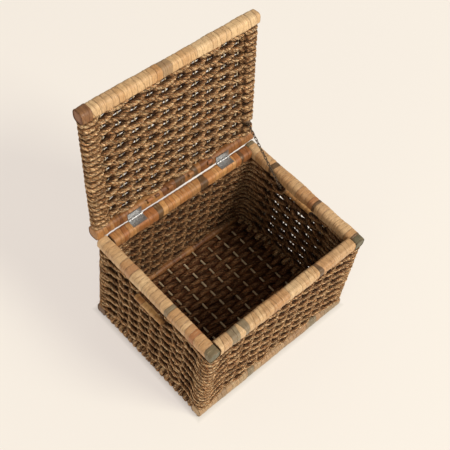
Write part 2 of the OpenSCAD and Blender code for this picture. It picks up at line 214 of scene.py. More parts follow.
def rope(bag, path, up, closed=False, radius=ROPE_R, pitch=TWIST, tone=0.5, flats=None, fuzz=0.25,
         side=wall_side, extra_shade=None, inner=0.0, edge_shade=EDGE_SHADE, hair_reach=1000.0):
    """Plies twisted loosely together along a path; flats squeezes the rope square to up.

    A point attribute holds painted shade, by how deep a spot lies: on the side turned to a stick, at the
    rope's edge or, by inner, on the inner face of its wall, inside the trunk.
    """
    step, m = ((1.7, 8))
    path, up = np.asarray(path, float), np.asarray(up, float)
    p, length = resample(path, step, closed)
    n = len(p)
    flat = np.full(n, ROPE_FLAT)
    if flats is not None:
        d = run_length(path)
        flat = np.interp(np.linspace(0, d[-1], n), d, flats)
    t = unit(np.roll(p, -1, 0) - np.roll(p, 1, 0) if closed else np.gradient(p, axis=0))
    b = unit(up - (t @ up)[:, None] * t)
    across = np.cross(b, t)
    s = np.arange(n) * length / n
    turns = max(1, round(length / pitch))
    wob = smooth_noise(n, step, 26, 0.3)
    fat = 1 + smooth_noise(n, step, 14, 0.03)
    if closed:
        fade = fade_ends(n, 12)
        wob, fat = wob * fade, 1 + (fat - 1) * fade
    base = rng.uniform(0, 2 * math.pi)
    off, radial, wide = PLY_OFF * radius, PLY_RADIAL * radius, PLY_WIDE * radius
    th = np.linspace(0, 2 * math.pi, m, endpoint=False)
    side_vec, off_mid = side(p)
    for ply in range(PLIES):
        loose = smooth_noise(n, step, 18, 0.10)
        size = (1 + smooth_noise(n, step, 20, 0.07)) * rng.uniform(0.9, 1.12)
        if closed:
            loose, size = loose * fade, 1 + (size - 1) * fade
        phi = base + ply * 2 * math.pi / PLIES + (2 * math.pi * turns * s / length + wob) + loose
        er = np.stack([np.cos(phi), np.sin(phi)], 1)
        et = np.stack([-np.sin(phi), np.cos(phi)], 1)
        loc = (off * er)[:, None, :] \
            + (radial * size)[:, None, None] * np.cos(th)[None, :, None] * er[:, None, :] \
            + (wide * size)[:, None, None] * np.sin(th)[None, :, None] * et[:, None, :]
        loc *= fat[:, None, None]
        far = np.linalg.norm(loc, axis=2) / radius
        v = p[:, None, :] + loc[:, :, :1] * flat[:, None, None] * across[:, None, :] + loc[:, :, 1:] * b[:, None, :]
        # painted shade: on the side turned to a stick, at the rope's edges, on the wall's inner face, and any that a
        # caller adds
        outward = np.einsum("nmk,nk->nm", v - p[:, None, :], side_vec)
        recess_shade = np.clip(-(off_mid / WAVE)[:, None] * outward / (0.62 * radius), 0, 1)
        edge = np.clip((np.abs(loc[:, :, 1]) / radius - 0.36) / 0.5, 0, 1)
        inside = np.clip(-(off_mid[:, None] + outward) / 4, 0, 1)
        cav = 1 - (1 - recess_shade) * (1 - edge_shade * edge) * (1 - inner * inside)
        if extra_shade is not None:
            cav = np.maximum(cav, extra_shade(p)[:, None])
        lay = th[None, :] + 0.35 * s[:, None] / radius
        seed = rng.uniform(0, 50)
        fib = np.stack([np.broadcast_to(s[:, None] + 100 * seed, far.shape), 1.6 * np.cos(lay), 1.6 * np.sin(lay)], 2)
        tn = np.clip(tone + rng.normal(0, 0.12) + smooth_noise(n, step, 28, 0.13), 0, 1)
        bag.add(v.reshape(-1, 3), [grid(n, m, closed)], fib=fib.reshape(-1, 3), depth=np.clip(far, 0, 1.1).ravel(),
                cav=cav.ravel(), tone=np.broadcast_to(tn[:, None], far.shape).ravel())
        if not closed:
            # the capped ends sit half in painted shade
            for e, ring_order in end_rings(n, m):
                tip = v[e].mean(0) + (t[e] if e else -t[e]) * radius * 0.5
                bag.add(np.vstack([v[e], tip[None]]), [cap(ring_order)], fib=np.vstack([fib[e], fib[e][:1]]),
                        depth=np.full(m + 1, 0.6), cav=np.full(m + 1, 0.5), tone=np.full(m + 1, tn[e]))
        if fuzz:
            hairs(bag, v, t, int(length * fuzz), p, hair_reach)


def hairs(bag, v, t, count, axis, reach):
    """Loose fibres that stand off the rope, as far out as reach along x."""
    n, m = v.shape[:2]
    i = rng.integers(1, n - 1, count)
    i = i[np.abs(axis[i, 0]) < reach]
    count = len(i)
    if not count:
        return
    k = rng.integers(0, m, count)
    root = v[i, k]
    out = unit(root - axis[i], 1e-9)
    sign = rng.choice([-1.0, 1.0], count)[:, None]
    d = t[i] * sign * rng.uniform(0.6, 1.3, (count, 1)) + out * rng.uniform(0.1, 0.5, (count, 1)) \
        + rng.normal(0, 0.25, (count, 3))
    bend = rng.normal(0, 0.35, (count, 3)) - 0.15 * out
    length = np.minimum(rng.gamma(3.0, 1.0, (count, 1)) + 1.0, HAIR_MAX)
    side = unit(np.cross(d, out), 1e-9)
    w = rng.uniform(0.09, 0.2, (count, 1))
    rings = []
    for f in (0.0, 0.35, 0.7, 1.0):
        c = root - 0.3 * out + d * length * f + bend * length * f * f
        a = w * (1 - 0.75 * f)
        rings.append(np.stack([c + side * a, c - 0.5 * side * a + out * 0.8 * a,
                               c - 0.5 * side * a - out * 0.8 * a], 1))
    h = np.stack(rings, 1)
    h[..., 2] = np.maximum(h[..., 2], HAIR_LOW)
    verts = len(rings) * 3
    faces = (grid(len(rings), 3)[None] + (np.arange(count) * verts)[:, None, None]).reshape(-1, 4)
    bag.add(h.reshape(-1, 3), [faces], fib=np.repeat(rng.uniform(0, 900, (count, 3)), verts, 0),
            depth=np.full(count * verts, 1.0), cav=np.zeros(count * verts),
            tone=np.repeat(rng.uniform(0.3, 1.0, count), verts))


# ---------------------------------------------------------------- weave paths
def signs(count, parity):
    return np.where((np.arange(count) + parity) % 2 == 0, WAVE, -WAVE)


def front_off(i):
    """Knots along the front or back wall, and how far out of its mid-plane row i passes each."""
    return [-POST_X, *FRONT, POST_X], [CORNER_OFF, *signs(len(FRONT), i), CORNER_OFF]


def side_off(i):
    return [-POST_Y, *SIDE, POST_Y], [CORNER_OFF, *signs(len(SIDE), i + 1), CORNER_OFF]


def arc(cx, cy, a0, a1):
    a = np.radians(np.linspace(a0, a1, 14))
    return np.stack([cx + BEND * np.cos(a), cy + BEND * np.sin(a)], 1)


def front_wall(i, sign=-1):
    x = np.arange(-POST_X, POST_X + 0.25, 0.5)
    return np.stack([x, sign * (WALL_Y + ease(x, *front_off(i)))], 1)


def side_wall(i, sign, y0, y1):
    y = np.arange(y0, y1 + 0.25, 0.5)
    return np.stack([sign * (WALL_X + ease(y, *side_off(i))), y], 1)


def row_z(i):
    return WALL_Z0 + (i + 0.5) * ROW


def lift(xy, z):
    return np.column_stack([xy, np.broadcast_to(z, len(xy))])


def ring(i):
    return lift(np.vstack([
        front_wall(i), arc(POST_X, -POST_Y, -90, 0), side_wall(i, 1, -POST_Y, POST_Y),
        arc(POST_X, POST_Y, 0, 90), front_wall(i, 1)[::-1], arc(-POST_X, POST_Y, 90, 180),
        side_wall(i, -1, -POST_Y, POST_Y)[::-1], arc(-POST_X, -POST_Y, 180, 270)]), row_z(i))


def turn(i, side, y, way):
    """Half turn round the stick at a slot's end, from row i to row i + 1."""
    knots, offs = side_off(i)
    off = offs[knots.index(y)]
    f = np.linspace(0, math.pi, 16)[1:-1]
    return np.column_stack([side * (WALL_X + off * np.cos(f)), y + way * 5.6 * np.sin(f), row_z(i) + ROW * f / math.pi])


def top_part(front):
    """One rope that goes to and fro between the two slots, on one side of them."""
    y = SLOT0 if front else SLOT1
    way = 1 if front else -1
    out = []
    for n, i in enumerate(range(FULL_ROWS, ROWS)):
        if front:
            p = np.vstack([side_wall(i, -1, -POST_Y, y)[::-1], arc(-POST_X, -POST_Y, 180, 270), front_wall(i),
                           arc(POST_X, -POST_Y, -90, 0), side_wall(i, 1, -POST_Y, y)])
        else:
            p = np.vstack([side_wall(i, -1, y, POST_Y), arc(-POST_X, POST_Y, 180, 90), front_wall(i, 1),
                           arc(POST_X, POST_Y, 90, 0), side_wall(i, 1, y, POST_Y)[::-1]])
        p = lift(p, row_z(i))
        out.append(p[::-1] if n % 2 else p)
        if i < ROWS - 1:
            out.append(turn(i, -1 if n % 2 else 1, y, way))
    return np.vstack(out)


def press_up(p):
    """The top full row lies out and up against the bar of each slot."""
    near = np.clip((PRESS_HALF - np.abs(p[:, 1] - SLOT_MID)) / PRESS_EASE, 0, 1) * (np.abs(p[:, 0]) > 130)
    near = near * near * (3 - 2 * near)
    off = np.abs(p[:, 0]) - WALL_X
    q = p.copy()
    q[:, 0] += np.sign(p[:, 0]) * near * (1.6 + 0.15 * off - off)
    q[:, 2] += PRESS_UP * near
    return q


def wobble(p, amp=0.25):
    """Small uneven waves, mostly up and down, that fade out at both ends."""
    n = len(p)
    q = p.copy()
    fade = fade_ends(n, 40)
    for k in range(3):
        q[:, k] += smooth_noise(n, 0.5, 22, amp * (1 if k == 2 else 0.4)) * fade
    return q


def panel_row(i, stakes, parity, y, z, mid, right_y=None, wave=1.0, a=6.7):
    """One rope of a panel, and its flats: round the left bar, past the sticks, round the right bar.

    z and mid are the heights of the panel and of its bars, a is bar axis to rope axis. The rope stops
    short of the right bar if right_y, its place on that bar, is None.
    """
    v = signs(len(stakes), i + parity) * wave
    stick_by_bar = stakes[0] + WALL_X < 20
    left_sign = np.sign(v[0]) if stick_by_bar else -np.sign(v[0])
    right_sign = -np.sign(v[-1])
    x = np.arange(-PANEL_REACH, PANEL_REACH + 0.25, 0.5)
    knots = [-PANEL_REACH - 4, *stakes, PANEL_REACH + 4]
    vals = [left_sign * a, *v, right_sign * a]
    if right_y is None:
        x = x[x < PANEL_REACH - 4]
        vals[-1] = right_sign * 2

    def loop(side, sign, bar_y):
        """Onto the bar, round its rounded section, and back in to tuck its end behind the panel."""
        al = np.linspace(math.pi / 2, -math.pi / 2, 30)
        e = 2 / 2.7
        cx = a * np.sign(np.cos(al)) * np.abs(np.cos(al)) ** e
        cz = a * np.sign(np.sin(al)) * np.abs(np.sin(al)) ** e
        lx = np.concatenate([[134, 137], WALL_X + np.clip(cx, 0, None), [137, 133.5, 130, 127.5]])
        lz = np.concatenate([[a, a], cz, [-a, -a, -5.6, -3.0]])
        f = np.clip(np.linspace(0, 1, len(lx)) * 4, 0, 1)
        return np.column_stack([side * lx, y + (bar_y - y) * f, z + (mid - z) * f + sign * lz])

    loop_flats = np.concatenate([[0.8, 0.7], np.full(30, 0.62), [0.62, 0.62, 0.62, 0.6]])
    parts = [loop(-1, left_sign, y)[::-1], np.column_stack([x, np.full(len(x), y), z + ease(x, knots, vals)])]
    flats = [loop_flats[::-1], np.full(len(x), 0.94)]
    if right_y is not None:
        parts.append(loop(1, right_sign, right_y))
        flats.append(loop_flats)
    return np.vstack(parts), np.concatenate(flats)


# ---------------------------------------------------------------- bark wraps
def rounded_square(half, r, m):
    """m points of a rounded square, each with its outward normal."""
    seg = half - r
    q = m // 4
    straight = max(2, int(round(q * 2 * seg / (2 * seg + r * math.pi / 2))))
    bend = q - straight
    out = []
    for k in range(4):
        c, s = math.cos(k * math.pi / 2), math.sin(k * math.pi / 2)
        pts = [(half, -seg + 2 * seg * j / straight, 1, 0) for j in range(straight)]
        for j in range(bend):
            a = j / bend * math.pi / 2
            pts.append((seg + r * math.cos(a), seg + r * math.sin(a), math.cos(a), math.sin(a)))
        out += [(px * c - py * s, px * s + py * c, nx * c - ny * s, nx * s + ny * c) for px, py, nx, ny in pts]
    return np.array(out)


def round_section(half, m):
    return np.array([(half * math.cos(a), half * math.sin(a), math.cos(a), math.sin(a))
                     for a in np.linspace(0, 2 * math.pi, m, endpoint=False)])


PALETTES = {
    "gold": [(0.57, 0.35, 0.17), (0.67, 0.47, 0.26), (0.50, 0.28, 0.12), (0.61, 0.40, 0.205), (0.42, 0.205, 0.08)],
    "cream": [(0.66, 0.42, 0.21), (0.77, 0.55, 0.31), (0.58, 0.33, 0.14), (0.70, 0.47, 0.24), (0.48, 0.245, 0.095)],
    "chestnut": [(0.48, 0.20, 0.062), (0.58, 0.28, 0.095), (0.38, 0.15, 0.048), (0.62, 0.34, 0.13),
                 (0.27, 0.105, 0.038)],
    "brown": [(0.27, 0.105, 0.030), (0.35, 0.155, 0.048), (0.19, 0.070, 0.022), (0.43, 0.21, 0.072),
              (0.13, 0.048, 0.017)],
    "amber": [(0.46, 0.25, 0.085), (0.55, 0.33, 0.13), (0.38, 0.18, 0.055)],
    "knob": [(0.20, 0.075, 0.028), (0.42, 0.22, 0.09), (0.13, 0.05, 0.02)],
    "dull": [(0.42, 0.27, 0.14), (0.50, 0.34, 0.18), (0.34, 0.20, 0.10), (0.30, 0.22, 0.13)],
}
GREY = (0.20, 0.17, 0.11)
GREEN = (0.13, 0.12, 0.07)
RUST = (0.34, 0.10, 0.03)
DARK = (0.075, 0.045, 0.022)
UMBER = (0.16, 0.09, 0.045)
TAN = (0.36, 0.24, 0.13)
COCOA = (0.27, 0.12, 0.05)
SWELL_LOW, SKIN_LOW = -0.25, -0.42       # how far the bark may sink towards its pole
MARK_REACH = 0.6                         # a mark this far past a strip's edge still colours it


def bark(bag, centre, axis, length, palette, marks=(), half=RAIL_HALF, r=5.5, round_bar=False, width=8.0):
    """Overlapping strips wound round a rail; marks are (place, colour) along the rail."""
    m = 44
    sec = round_section(half, m) if round_bar else rounded_square(half, r, m)
    ang = np.arctan2(sec[:, 1], sec[:, 0])
    edges = [-length / 2]
    while edges[-1] < length / 2 - width * 0.9:
        edges.append(edges[-1] + rng.uniform(0.5, 1.45) * width)
    edges = np.array(edges)
    edges = -length / 2 + (edges - edges[0]) * length / (edges[-1] - edges[0])
    count = len(edges) - 1
    pal = np.array(PALETTES[palette])
    centre = np.asarray(centre, float)
    ax, u, w = np.array({"x": ((1, 0, 0), (0, 1, 0), (0, 0, 1)), "y": ((0, 1, 0), (0, 0, 1), (1, 0, 0))}[axis], float)
    tilts = [0.0] + [rng.normal(0.5, 1.3) for _ in edges[1:-1]] + [0.0]
    leans = [0.0] + [rng.normal(0, 0.5) for _ in edges[1:-1]] + [0.0]
    waves = [(rng.uniform(0, 6.3), rng.uniform(0, 0.35)) for _ in edges]
    waves[0] = waves[-1] = (0, 0)
    walk = smooth_noise(len(edges), width, 38, 0.9)
    drift = [pal[int(np.clip(round(1.5 + x * 1.4), 0, len(pal) - 1))] for x in walk]
    swell = np.clip(smooth_noise(len(edges), width, 30, 0.4), SWELL_LOW, 0.8)

    def border(k):
        phase, amp = waves[k]
        return edges[k] + tilts[k] * sec[:, 0] / half + leans[k] * sec[:, 1] / half + amp * np.sin(3 * ang + phase)

    def place_points(s, p2):
        return centre + s * ax + p2[:, :1] * u + p2[:, 1:] * w

    last_col = None
    for k in range(count):
        lo, hi = border(k), border(k + 1)
        lift_a, lift_b = rng.uniform(-0.28, -0.08), rng.uniform(0.02, 0.3)
        if k == count - 1:
            lift_b = 0.0
        profile = [(0.0, lift_a - 0.4), (0.04, lift_a), (0.2, lift_a * 0.6 + lift_b * 0.4 + 0.05),
                   (0.45, lift_a * 0.2 + lift_b * 0.8 + 0.06), (0.75, lift_b + 0.05), (0.93, lift_b),
                   (0.985, lift_b - 0.1), (1.0, lift_b - 0.6)]
        col = 0.55 * drift[k] + 0.45 * pal[rng.integers(len(pal))] * rng.uniform(0.9, 1.1)
        quiet = rng.uniform() < 0.4      # this strip runs on from the last one
        if quiet and k:
            col = 0.85 * last_col + 0.15 * col
        last_col = col
        mid = (edges[k] + edges[k + 1]) / 2
        for place, special in marks:
            if abs(place - mid) < (edges[k + 1] - edges[k]) / 2 + MARK_REACH:
                weight = 0.45 if special is RUST else 0.85
                col = (1 - weight) * col + weight * np.array(special)
        pucker = rng.normal(0, 0.10, m) + 0.12 * np.sin(ang * rng.integers(2, 5) + rng.uniform(0, 6))
        seed = rng.uniform(0, 400)
        verts, fib, edge = [], [], []
        for f, h in profile:
            s = lo * (1 - f) + hi * f + (0.25 if f == 1.0 else 0)
            skin = h + swell[k] * (1 - f) + swell[k + 1] * f + pucker * math.sin(math.pi * min(max(f, 0.05), 0.95))
            p2 = sec[:, :2] + sec[:, 2:] * np.maximum(skin, SKIN_LOW)[:, None]
            verts.append(place_points(s[:, None], p2))
            fib.append(np.column_stack([1.5 * np.cos(ang) + seed, 1.5 * np.sin(ang), s - edges[k] + seed]))
            dark = max(0.0, 1 - f / 0.08) if f < 0.5 else max(0.0, (f - 0.96) / 0.04)
            edge.append(np.full(m, dark * (0.3 if quiet and f < 0.5 else 1.0)))
        bag.add(np.vstack(verts), [grid(len(profile), m)], fib=np.vstack(fib), edge=np.concatenate(edge),
                tone=np.tile([*col, 1.0], (m * len(profile), 1)))

    shrink = (1.0, 0.93, 0.8, 0.55, 0.3, 0.08)
    for e, sgn in ((0, -1), (count, 1)):      # ends, closed by strips laid across
        col = pal[rng.integers(len(pal))] * 0.9
        for place, special in marks:
            if abs(place - edges[e]) < 4:
                col = np.array(special)
        seed = rng.uniform(0, 400)
        verts, fib, edge = [], [], []
        for f in shrink:
            p2 = sec[:, :2] * f
            verts.append(place_points(edges[e] + sgn * (0.05 - 0.75 * max(0, f - 0.7) / 0.3), p2))
            fib.append(np.column_stack([p2[:, 0] * 0.12 + seed, np.full(m, 0.0), p2[:, 1] + seed]))
            strip = np.abs(((p2[:, 1] + 3) / 6.0) % 1 - 0.5) * 2
            edge.append(np.clip((strip - 0.86) / 0.14, 0, 1))
        verts.append((centre + (edges[e] + sgn * 0.05) * ax)[None])
        fib.append([[seed, 0, seed]])
        edge.append([0.0])
        faces = grid(len(shrink), m)
        lid = cap(np.arange(m)) + (len(shrink) - 1) * m
        if sgn < 0:
            faces, lid = faces[:, ::-1], lid[:, ::-1]
        bag.add(np.vstack(verts), [faces, lid], fib=np.vstack(fib), edge=np.concatenate(edge),
                tone=np.tile([*col, 1.0], (m * len(shrink) + 1, 1)))


# ---------------------------------------------------------------- node helpers
def new_material(name):
    mat = bpy.data.materials.new(name)
    mat.use_nodes = True
    nt = mat.node_tree
    return mat, nt, nt.nodes["Principled BSDF"]


def ramp(nt, fac, stops):
    nd = nt.nodes.new("ShaderNodeValToRGB")
    el = nd.color_ramp.elements
    while len(el) < len(stops):
        el.new(0.5)
    for e, (pos, col) in zip(el, stops):
        e.position = pos
        e.color = (*col, 1)
    nt.links.new(fac, nd.inputs[0])
    return nd.outputs[0]


def attr(nt, name, out="Fac"):
    nd = nt.nodes.new("ShaderNodeAttribute")
    nd.attribute_name = name
    return nd.outputs[out]


def object_coords(nt):
    return nt.nodes.new("ShaderNodeTexCoord").outputs["Object"]


def noise(nt, vec, scale=1.0, detail=3.0, rough=0.55, stretch=None, dist=0.0):
    if stretch is not None:
        by = nt.nodes.new("ShaderNodeVectorMath")
        by.operation = "MULTIPLY"
        by.inputs[1].default_value = stretch
        nt.links.new(vec, by.inputs[0])
        vec = by.outputs[0]
    nd = nt.nodes.new("ShaderNodeTexNoise")
    nd.inputs["Scale"].default_value = scale
    nd.inputs["Detail"].default_value = detail
    nd.inputs["Roughness"].default_value = rough
    nd.inputs["Distortion"].default_value = dist
    nt.links.new(vec, nd.inputs["Vector"])
    return nd.outputs["Fac"]


def mathn(nt, op, a, b=None, clamp=False):
    nd = nt.nodes.new("ShaderNodeMath")
    nd.operation = op
    nd.use_clamp = clamp
    for k, x in enumerate((a, b)):
        if x is None:
            continue
        if isinstance(x, (int, float)):
            nd.inputs[k].default_value = x
        else:
            nt.links.new(x, nd.inputs[k])
    return nd.outputs[0]


def weighted(nt, *pairs):
    """Sum of (value, weight) pairs."""
    total = None
    for x, weight in pairs:
        part = mathn(nt, "MULTIPLY", x, weight)
        total = part if total is None else mathn(nt, "ADD", total, part)
    return total


def mix(nt, fac, a, b, blend="MIX"):
    nd = nt.nodes.new("ShaderNodeMix")
    nd.data_type = "RGBA"
    nd.blend_type = blend
    for sock, x in ((nd.inputs[0], fac), (nd.inputs[6], a), (nd.inputs[7], b)):
        if isinstance(x, (int, float)):
            sock.default_value = x
        elif isinstance(x, tuple):
            sock.default_value = (*x, 1)
        else:
            nt.links.new(x, sock)
    return nd.outputs[2]


def times(nt, a, b):
    return mix(nt, 1.0, a, b, "MULTIPLY")


def maprange(nt, x, a, b, c, d):
    nd = nt.nodes.new("ShaderNodeMapRange")
    nt.links.new(x, nd.inputs[0])
    for k, val in enumerate((a, b, c, d)):
        nd.inputs[k + 1].default_value = val
    return nd.outputs[0]


def patches(nt, col, pattern, start, full, strength, other):
    """col, turned towards other where the pattern passes from start to full."""
    return mix(nt, maprange(nt, pattern, start, full, 0.0, strength), col, other)


def bump(nt, bsdf, height, strength, distance):
    nd = nt.nodes.new("ShaderNodeBump")
    nd.inputs["Strength"].default_value = strength
    nd.inputs["Distance"].default_value = distance
    nt.links.new(height, nd.inputs["Height"])
    nt.links.new(nd.outputs[0], bsdf.inputs["Normal"])


def surface(nt, bsdf, col, pattern, rough0, rough1, lo=0.3, hi=0.7):
    """Base colour, and roughness from rough0 to rough1 as the pattern goes from lo to hi."""
    nt.links.new(col, bsdf.inputs["Base Color"])
    nt.links.new(maprange(nt, pattern, lo, hi, rough0, rough1), bsdf.inputs["Roughness"])


# ---------------------------------------------------------------- materials
def rope_material(name, stops, groove, hollow=0.05, pale=(0.88, 0.67, 0.41)):
    """Twisted grass: dark splits, pale straws, shade between the plies (groove) and in the weave (hollow)."""
    mat, nt, bsdf = new_material(name)
    fib = attr(nt, "fib", "Vector")
    tone, depth = attr(nt, "tone"), attr(nt, "depth")
    fine = noise(nt, fib, 1.0, 5.0, 0.74, (0.62, 2.3, 2.3))
    broad = noise(nt, fib, 1.0, 2.0, 0.5, (0.10, 0.5, 0.5))
    tint = noise(nt, fib, 1.0, 2.0, 0.5, (0.22, 0.9, 0.9))
    col = ramp(nt, mathn(nt, "SUBTRACT", weighted(nt, (fine, 3.1), (broad, 0.8), (tone, 0.4)), 1.62, clamp=True), stops)
    col = patches(nt, col, tint, 0.56, 0.68, 0.55, times(nt, col, (1.25, 0.72, 0.5)))
    col = patches(nt, col, tint, 0.44, 0.34, 0.5, times(nt, col, (0.72, 0.86, 0.75)))
    split = noise(nt, fib, 1.0, 3.0, 0.6, (0.27, 2.3, 2.3))
    col = patches(nt, col, split, 0.525, 0.59, 0.9, (0.028, 0.011, 0.005))
    straw = noise(nt, fib, 1.0, 3.0, 0.6, (0.25, 2.1, 2.1), 0.4)
    col = patches(nt, col, straw, 0.545, 0.61, 0.85, pale)
    mottle = noise(nt, fib, 1.0, 2.0, 0.6, (0.42, 1.5, 1.5))
    col = times(nt, col, maprange(nt, mottle, 0.36, 0.64, 0.42, 1.6))
    col = times(nt, col, maprange(nt, depth, 0.58, 0.96, groove, 1.0))
    deep = (hollow * 1.2, hollow * 0.7, hollow * 0.5)
    col = times(nt, col, ramp(nt, attr(nt, "cav"), [(0.0, (1, 1, 1)), (0.5, (0.55, 0.45, 0.37)), (1.0, deep)]))
    surface(nt, bsdf, col, fine, 0.82, 0.58)
    bsdf.inputs["Specular IOR Level"].default_value = 0.12
    bump(nt, bsdf, fine, 0.9, 0.0009)
    return mat


def bark_material(name):
    """Split bark: long streaks, warm and pale patches, dark lines, flecks and broken dark seams."""
    mat, nt, bsdf = new_material(name)
    fib = attr(nt, "fib", "Vector")
    tone, edge = attr(nt, "tone", "Color"), attr(nt, "edge")
    streak = noise(nt, fib, 1.0, 5.0, 0.62, (0.55, 0.55, 1.7))
    broad = noise(nt, fib, 1.0, 2.0, 0.5, (0.5, 0.5, 0.35))
    lines = noise(nt, fib, 1.0, 2.0, 0.5, (0.35, 0.35, 4.5))
    col = times(nt, tone, ramp(nt, streak, [(0.28, (0.46, 0.38, 0.32)), (0.46, (0.92, 0.88, 0.82)),
                                            (0.62, (1.12, 1.1, 1.04)), (0.8, (1.3, 1.3, 1.28))]))
    col = patches(nt, col, broad, 0.58, 0.78, 0.45, (0.33, 0.13, 0.045))
    col = patches(nt, col, broad, 0.40, 0.22, 0.35, (0.62, 0.48, 0.29))
    col = patches(nt, col, lines, 0.62, 0.74, 0.55, (0.16, 0.08, 0.035))
    broken = noise(nt, fib, 1.0, 2.0, 0.5, (2.2, 2.2, 0.5))
    seam = mathn(nt, "MULTIPLY", edge, maprange(nt, broken, 0.38, 0.56, 0.12, 1.0))
    col = mix(nt, seam, col, (0.085, 0.042, 0.018))
    fleck = noise(nt, fib, 1.0, 3.0, 0.6, (1.6, 1.6, 3.2))
    col = patches(nt, col, fleck, 0.60, 0.70, 0.7, (0.15, 0.065, 0.025))
    surface(nt, bsdf, col, streak, 0.62, 0.42)
    bsdf.inputs["Specular IOR Level"].default_value = 0.4
    bump(nt, bsdf, weighted(nt, (streak, 0.7), (lines, 0.3)), 0.6, 0.0007)
    return mat


def wood_material(name, light, dark):
    mat, nt, bsdf = new_material(name)
    co = object_coords(nt)
    grain = noise(nt, co, 1.0, 4.0, 0.6, (90, 90, 260))
    pores = noise(nt, co, 1.0, 3.0, 0.5, (900, 900, 900))
    both = weighted(nt, (grain, 0.7), (pores, 0.3))
    middle = tuple((a + b) / 2 for a, b in zip(light, dark))
    surface(nt, bsdf, ramp(nt, both, [(0.3, dark), (0.5, middle), (0.7, light)]), pores, 0.75, 0.5)
    bump(nt, bsdf, both, 0.5, 0.0004)
    return mat


def reed_material(name):
    mat, nt, bsdf = new_material(name)
    fib, tone = attr(nt, "fib", "Vector"), attr(nt, "tone")
    grain = noise(nt, fib, 1.0, 4.0, 0.6, (0.05, 2.5, 2.5))
    col = ramp(nt, weighted(nt, (grain, 0.8), (tone, 0.3)),
               [(0.3, (0.22, 0.13, 0.06)), (0.5, (0.50, 0.37, 0.21)), (0.72, (0.68, 0.56, 0.37))])
    surface(nt, bsdf, col, grain, 0.6, 0.38)
    bump(nt, bsdf, grain, 0.5, 0.0003)
    return mat


def metal_material(name, light, dark, spots, rough):
    mat, nt, bsdf = new_material(name)
    co = object_coords(nt)
    cloud = noise(nt, co, 420.0, 4.0, 0.6)
    grit = noise(nt, co, 1700.0, 3.0, 0.6)
    col = patches(nt, ramp(nt, cloud, [(0.32, dark), (0.6, light)]), grit, 0.6, 0.72, 0.7, spots)
    surface(nt, bsdf, col, cloud, rough + 0.15, rough - 0.08)
    bsdf.inputs["Metallic"].default_value = 0.9
    bump(nt, bsdf, grit, 0.25, 0.0002)
    return mat


ROPE = [(0.02, (0.024, 0.008, 0.003)), (0.24, (0.14, 0.052, 0.017)), (0.48, (0.36, 0.168, 0.060)),
        (0.72, (0.62, 0.37, 0.160)), (0.96, (0.93, 0.72, 0.43))]
FLOOR = [(0.05, (0.016, 0.006, 0.003)), (0.30, (0.070, 0.026, 0.010)), (0.55, (0.19, 0.082, 0.032)),
         (0.9, (0.42, 0.22, 0.095))]
wall_rope = rope_material("wall_rope", ROPE, 0.16)
lid_rope = rope_material("lid_rope", ROPE, 0.18)
floor_rope = rope_material("floor_rope", FLOOR, 0.3, 0.25, (0.34, 0.19, 0.09))
bark_wrap = bark_material("bark_wrap")
timber = wood_material("timber", (0.20, 0.12, 0.06), (0.08, 0.04, 0.02))
base_timber = wood_material("base_timber", (0.46, 0.29, 0.15), (0.24, 0.13, 0.06))
reed = reed_material("stakes")
steel = metal_material("hinge_steel", (0.47, 0.47, 0.46), (0.24, 0.24, 0.24), (0.15, 0.13, 0.11), 0.42)
bronze = metal_material("chain_metal", (0.15, 0.115, 0.08), (0.05, 0.036, 0.025), (0.03, 0.022, 0.015), 0.5)

# ---------------------------------------------------------------- walls
COURSES = 6
# the wall ropes take painted shade on the inner faces of the walls
for n in range(COURSES):
    bag = Bag()
    for i in range(2 * n, FULL_ROWS if n == COURSES - 1 else 2 * n + 2):
        path = press_up(ring(i)) if i == FULL_ROWS - 1 else ring(i)
        rope(bag, wobble(path), UP, closed=True, tone=0.5 + rng.normal(0, 0.05), inner=INNER_SHADE)
    bag.build(f"rope_course_{n + 1}", "box", "wall_rope", wall_rope, [f"wall_course_{n + 1}"])
for is_front, nm in ((True, "wall_top_front"), (False, "wall_top_back")):
    bag = Bag()
    rope(bag, wobble(top_part(is_front)), UP, tone=0.52, inner=INNER_SHADE)
    bag.build("rope_" + nm, "box", "wall_rope", wall_rope, [nm])


def inner_pass(knots, offs, sign):
    """How far along its wall, on the side of sign, a row last passes a stick on the inner side."""
    from_corner = sorted(zip(knots, offs), key=lambda q: -sign * q[0])
    return next(abs(x) for x, v in from_corner[1:] if v < 0)


# short lengths that line the inside of each corner and end behind the ropes of both walls
LINING_X, LINING_Y, LINING_R = POST_X - 17.5, POST_Y - 17.5, 15.0
for sx, sy, nm in ((-1, -1, "front_left"), (1, -1, "front_right"), (-1, 1, "back_left"), (1, 1, "back_right")):
    bag = Bag()
    for i in range(ROWS):
        a = np.linspace(0, math.pi / 2, 24)
        r = LINING_R + rng.uniform(-0.8, 0.8)
        ex, ey = inner_pass(*front_off(i), sx), inner_pass(*side_off(i), sy)
        c = np.vstack([[ex - 2, WALL_Y + 1], [(ex + LINING_X) / 2, LINING_Y + r + 1.2],
                       np.column_stack([LINING_X + r * np.sin(a), LINING_Y + r * np.cos(a)]),
                       [LINING_X + r + 1.2, (ey + LINING_Y) / 2], [WALL_X + 1, ey - 2]])
        rope(bag, lift(c * (sx, sy), row_z(i) + rng.normal(0, 0.3)), UP, tone=0.4, radius=4.7, fuzz=0.1,
             side=inner_side)
    bag.build("rope_corner_" + nm, "box", "wall_rope", wall_rope)
